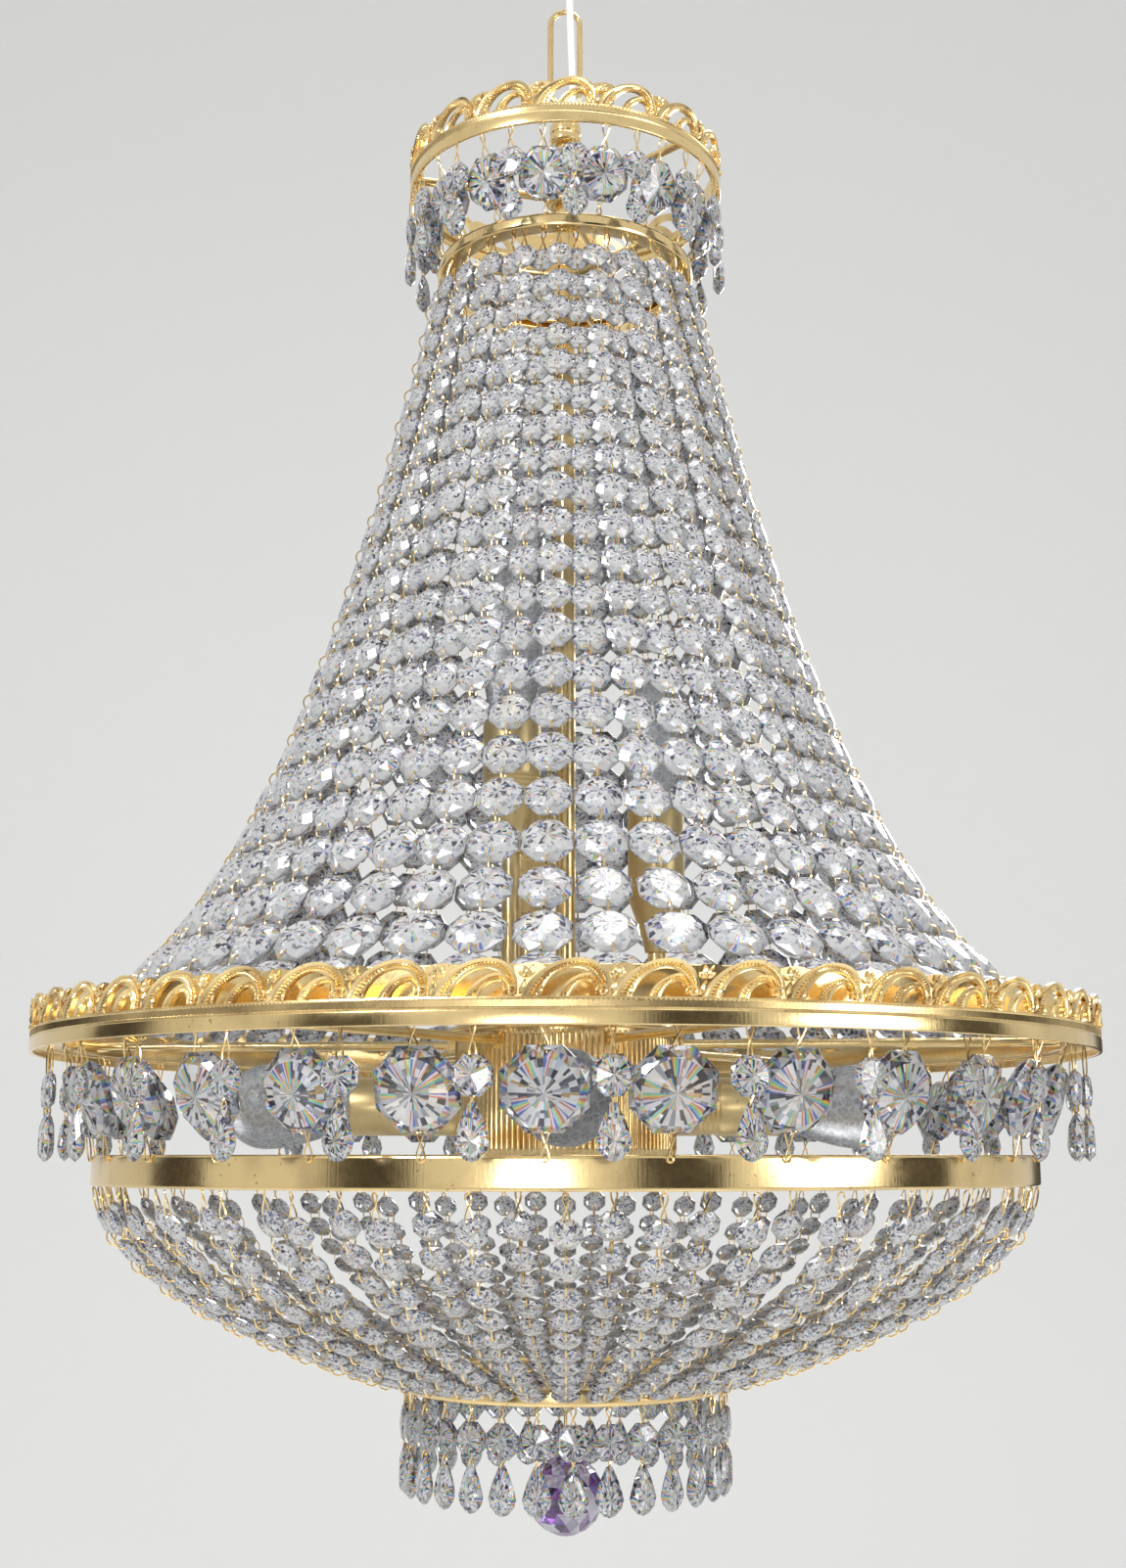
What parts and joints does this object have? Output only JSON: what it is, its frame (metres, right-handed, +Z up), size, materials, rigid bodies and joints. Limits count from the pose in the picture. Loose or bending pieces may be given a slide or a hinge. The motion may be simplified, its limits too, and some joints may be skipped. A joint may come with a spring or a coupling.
{
  "type": "crystal chandelier",
  "caption": "Crystal chandelier: gilt rings on a central column, draped with strung cut crystal, with candle lamps inside and a crystal ball below.",
  "frame": {"origin": "the hanging point, the inside top of the chain link", "axes": "+Z up along the column, front towards -Y, +X to the right seen from the front"},
  "size_m": [0.56, 0.56, 0.894],
  "materials": {
    "chain_link": "polished, lacquered, with dark marks in the hollows",
    "hanging_loop": "polished, lacquered, with dark marks in the hollows",
    "column_collar": "polished, lacquered, with dark marks in the hollows",
    "column_tube": "polished, lacquered, with dark marks in the hollows",
    "column_nut": "polished, lacquered, with dark marks in the hollows",
    "supply_flex": "clear to white insulation",
    "flex_connector": "plain",
    "crown_hoop": "polished gilt brass with a few dull spots",
    "neck_ring": "polished gilt brass with a few dull spots",
    "crown_spokes": "plain gilt wire and rod",
    "neck_spokes": "plain gilt wire and rod",
    "main_hoop": "polished gilt brass with a few dull spots",
    "basket_ring": "polished gilt brass with a few dull spots",
    "foot_ring": "polished gilt brass with a few dull spots",
    "main_rods": "plain gilt wire and rod",
    "crown_gallery": "cast and pierced, gilt, dark in the hollows",
    "main_gallery": "cast and pierced, gilt, dark in the hollows",
    "hub_cup": "fluted and gilt",
    "hub_cover": "fluted and gilt",
    "candle_cups": "matte gilt with a turned thread",
    "candle_stems": "matte gilt with a turned thread",
    "side_cups": "matte gilt with a turned thread",
    "drape_octagons_upper": "clear lead crystal, cut and polished",
    "drape_octagons_middle": "clear lead crystal, cut and polished",
    "drape_octagons_lower": "clear lead crystal, cut and polished",
    "basket_octagons": "clear lead crystal, cut and polished",
    "strand_hooks": "thin bent wire",
    "large_octagons": "clear lead crystal, cut and polished",
    "crown_octagons": "clear lead crystal, cut and polished",
    "octagon_hooks": "thin bent wire",
    "pendant_hooks": "thin bent wire",
    "pendant_buttons": "clear lead crystal, cut and polished",
    "pendant_drops": "clear lead crystal, cut and polished",
    "foot_spider": "plain gilt wire and rod",
    "ball_hook": "plain gilt wire and rod",
    "crystal_ball": "clear lead crystal, cut and polished",
    "candle_bulb_left": "clear glass, finely crackled",
    "candle_bulb_right": "clear glass, finely crackled",
    "candle_bulb_back": "clear glass, finely crackled",
    "side_bulb_front": "clear glass, finely crackled",
    "side_bulb_right": "clear glass, finely crackled",
    "side_bulb_back": "clear glass, finely crackled",
    "side_bulb_left": "clear glass, finely crackled",
    "crown_pendant_01": "clear lead crystal, cut and polished",
    "crown_pendant_02": "clear lead crystal, cut and polished",
    "crown_pendant_03": "clear lead crystal, cut and polished",
    "crown_pendant_04": "clear lead crystal, cut and polished",
    "crown_pendant_05": "clear lead crystal, cut and polished",
    "crown_pendant_06": "clear lead crystal, cut and polished",
    "crown_pendant_07": "clear lead crystal, cut and polished",
    "crown_pendant_08": "clear lead crystal, cut and polished",
    "crown_pendant_09": "clear lead crystal, cut and polished",
    "crown_pendant_10": "clear lead crystal, cut and polished",
    "crown_pendant_11": "clear lead crystal, cut and polished",
    "crown_pendant_12": "clear lead crystal, cut and polished",
    "crown_pendant_13": "clear lead crystal, cut and polished",
    "crown_pendant_14": "clear lead crystal, cut and polished",
    "crown_pendant_15": "clear lead crystal, cut and polished",
    "crown_pendant_16": "clear lead crystal, cut and polished"
  },
  "bodies": {
    "hanger": {"chain_link": "chain_link", "flex_connector": "flex_connector"},
    "frame": {"hanging_loop": "hanging_loop", "column_collar": "column_collar", "column_tube": "column_tube", "column_nut": "column_nut", "supply_flex": "supply_flex", "crown_hoop": "crown_hoop", "neck_ring": "neck_ring", "crown_spokes": "crown_spokes", "neck_spokes": "neck_spokes", "main_hoop": "main_hoop", "basket_ring": "basket_ring", "foot_ring": "foot_ring", "main_rods": "main_rods", "crown_gallery": "crown_gallery", "main_gallery": "main_gallery", "hub_cup": "hub_cup", "hub_cover": "hub_cover", "candle_cups": "candle_cups", "candle_stems": "candle_stems", "side_cups": "side_cups", "drape_octagons_upper": "drape_octagons_upper", "drape_octagons_middle": "drape_octagons_middle", "drape_octagons_lower": "drape_octagons_lower", "basket_octagons": "basket_octagons", "strand_hooks": "strand_hooks", "large_octagons": "large_octagons", "crown_octagons": "crown_octagons", "octagon_hooks": "octagon_hooks", "pendant_hooks": "pendant_hooks", "pendant_buttons": "pendant_buttons", "pendant_drops": "pendant_drops", "foot_spider": "foot_spider"},
    "ball": {"ball_hook": "ball_hook", "crystal_ball": "crystal_ball"},
    "candle_bulb_left": {"candle_bulb_left": "candle_bulb_left"},
    "candle_bulb_right": {"candle_bulb_right": "candle_bulb_right"},
    "candle_bulb_back": {"candle_bulb_back": "candle_bulb_back"},
    "side_bulb_front": {"side_bulb_front": "side_bulb_front"},
    "side_bulb_right": {"side_bulb_right": "side_bulb_right"},
    "side_bulb_back": {"side_bulb_back": "side_bulb_back"},
    "side_bulb_left": {"side_bulb_left": "side_bulb_left"},
    "crown_pendant_01": {"crown_pendant_01": "crown_pendant_01"},
    "crown_pendant_02": {"crown_pendant_02": "crown_pendant_02"},
    "crown_pendant_03": {"crown_pendant_03": "crown_pendant_03"},
    "crown_pendant_04": {"crown_pendant_04": "crown_pendant_04"},
    "crown_pendant_05": {"crown_pendant_05": "crown_pendant_05"},
    "crown_pendant_06": {"crown_pendant_06": "crown_pendant_06"},
    "crown_pendant_07": {"crown_pendant_07": "crown_pendant_07"},
    "crown_pendant_08": {"crown_pendant_08": "crown_pendant_08"},
    "crown_pendant_09": {"crown_pendant_09": "crown_pendant_09"},
    "crown_pendant_10": {"crown_pendant_10": "crown_pendant_10"},
    "crown_pendant_11": {"crown_pendant_11": "crown_pendant_11"},
    "crown_pendant_12": {"crown_pendant_12": "crown_pendant_12"},
    "crown_pendant_13": {"crown_pendant_13": "crown_pendant_13"},
    "crown_pendant_14": {"crown_pendant_14": "crown_pendant_14"},
    "crown_pendant_15": {"crown_pendant_15": "crown_pendant_15"},
    "crown_pendant_16": {"crown_pendant_16": "crown_pendant_16"}
  },
  "joints": [
    {"name": "sway", "type": "hinge", "parent": "hanger", "child": "frame", "pos_m": [0, 0, -0.05975], "axis": [1, 0, 0], "range_deg": [-25, 25], "deforming": ["supply_flex"]},
    {"name": "ball_swing", "type": "hinge", "parent": "frame", "child": "ball", "pos_m": [0, 0, -0.8002], "axis": [1, 0, 0], "range_deg": [-25, 25]},
    {"name": "unscrew_candle_left", "type": "hinge", "parent": "frame", "child": "candle_bulb_left", "pos_m": [-0.02868, -0.04096, -0.4405], "axis": [0, 0, 1], "range_deg": [0, 1080]},
    {"name": "unscrew_candle_right", "type": "hinge", "parent": "frame", "child": "candle_bulb_right", "pos_m": [0.04981, -0.00436, -0.4895], "axis": [0, 0, 1], "range_deg": [0, 1080]},
    {"name": "unscrew_candle_back", "type": "hinge", "parent": "frame", "child": "candle_bulb_back", "pos_m": [-0.02113, 0.04532, -0.462], "axis": [0, 0, 1], "range_deg": [0, 1080]},
    {"name": "unscrew_side_front", "type": "hinge", "parent": "frame", "child": "side_bulb_front", "pos_m": [0, -0.115, -0.65], "axis": [0, -1, 0], "range_deg": [0, 1080]},
    {"name": "unscrew_side_right", "type": "hinge", "parent": "frame", "child": "side_bulb_right", "pos_m": [0.115, 0, -0.65], "axis": [1, 0, 0], "range_deg": [0, 1080]},
    {"name": "unscrew_side_back", "type": "hinge", "parent": "frame", "child": "side_bulb_back", "pos_m": [0, 0.115, -0.65], "axis": [0, 1, 0], "range_deg": [0, 1080]},
    {"name": "unscrew_side_left", "type": "hinge", "parent": "frame", "child": "side_bulb_left", "pos_m": [-0.115, 0, -0.65], "axis": [-1, 0, 0], "range_deg": [0, 1080]},
    {"name": "swing_pendant_01", "type": "hinge", "parent": "frame", "child": "crown_pendant_01", "pos_m": [0.00513, -0.09035, -0.1228], "axis": [-0.9984, -0.0567, 0], "range_deg": [-2, 45]},
    {"name": "swing_pendant_02", "type": "hinge", "parent": "frame", "child": "crown_pendant_02", "pos_m": [0.03932, -0.08151, -0.1228], "axis": [-0.9007, -0.4344, 0], "range_deg": [-2, 45]},
    {"name": "swing_pendant_03", "type": "hinge", "parent": "frame", "child": "crown_pendant_03", "pos_m": [0.06752, -0.06026, -0.1228], "axis": [-0.6659, -0.7461, 0], "range_deg": [-2, 45]},
    {"name": "swing_pendant_04", "type": "hinge", "parent": "frame", "child": "crown_pendant_04", "pos_m": [0.08544, -0.02984, -0.1228], "axis": [-0.3297, -0.9441, 0], "range_deg": [-2, 45]},
    {"name": "swing_pendant_05", "type": "hinge", "parent": "frame", "child": "crown_pendant_05", "pos_m": [0.09035, 0.00513, -0.1228], "axis": [0.0567, -0.9984, 0], "range_deg": [-2, 45]},
    {"name": "swing_pendant_06", "type": "hinge", "parent": "frame", "child": "crown_pendant_06", "pos_m": [0.08151, 0.03932, -0.1228], "axis": [0.4344, -0.9007, 0], "range_deg": [-2, 45]},
    {"name": "swing_pendant_07", "type": "hinge", "parent": "frame", "child": "crown_pendant_07", "pos_m": [0.06026, 0.06752, -0.1228], "axis": [0.7461, -0.6659, 0], "range_deg": [-2, 45]},
    {"name": "swing_pendant_08", "type": "hinge", "parent": "frame", "child": "crown_pendant_08", "pos_m": [0.02984, 0.08544, -0.1228], "axis": [0.9441, -0.3297, 0], "range_deg": [-2, 45]},
    {"name": "swing_pendant_09", "type": "hinge", "parent": "frame", "child": "crown_pendant_09", "pos_m": [-0.00513, 0.09035, -0.1228], "axis": [0.9984, 0.0567, 0], "range_deg": [-2, 45]},
    {"name": "swing_pendant_10", "type": "hinge", "parent": "frame", "child": "crown_pendant_10", "pos_m": [-0.03932, 0.08151, -0.1228], "axis": [0.9007, 0.4344, 0], "range_deg": [-2, 45]},
    {"name": "swing_pendant_11", "type": "hinge", "parent": "frame", "child": "crown_pendant_11", "pos_m": [-0.06752, 0.06026, -0.1228], "axis": [0.6659, 0.7461, 0], "range_deg": [-2, 45]},
    {"name": "swing_pendant_12", "type": "hinge", "parent": "frame", "child": "crown_pendant_12", "pos_m": [-0.08544, 0.02984, -0.1228], "axis": [0.3297, 0.9441, 0], "range_deg": [-2, 45]},
    {"name": "swing_pendant_13", "type": "hinge", "parent": "frame", "child": "crown_pendant_13", "pos_m": [-0.09035, -0.00513, -0.1228], "axis": [-0.0567, 0.9984, 0], "range_deg": [-2, 45]},
    {"name": "swing_pendant_14", "type": "hinge", "parent": "frame", "child": "crown_pendant_14", "pos_m": [-0.08151, -0.03932, -0.1228], "axis": [-0.4344, 0.9007, 0], "range_deg": [-2, 45]},
    {"name": "swing_pendant_15", "type": "hinge", "parent": "frame", "child": "crown_pendant_15", "pos_m": [-0.06026, -0.06752, -0.1228], "axis": [-0.7461, 0.6659, 0], "range_deg": [-2, 45]},
    {"name": "swing_pendant_16", "type": "hinge", "parent": "frame", "child": "crown_pendant_16", "pos_m": [-0.02984, -0.08544, -0.1228], "axis": [-0.9441, 0.3297, 0], "range_deg": [-2, 45]}
  ]
}
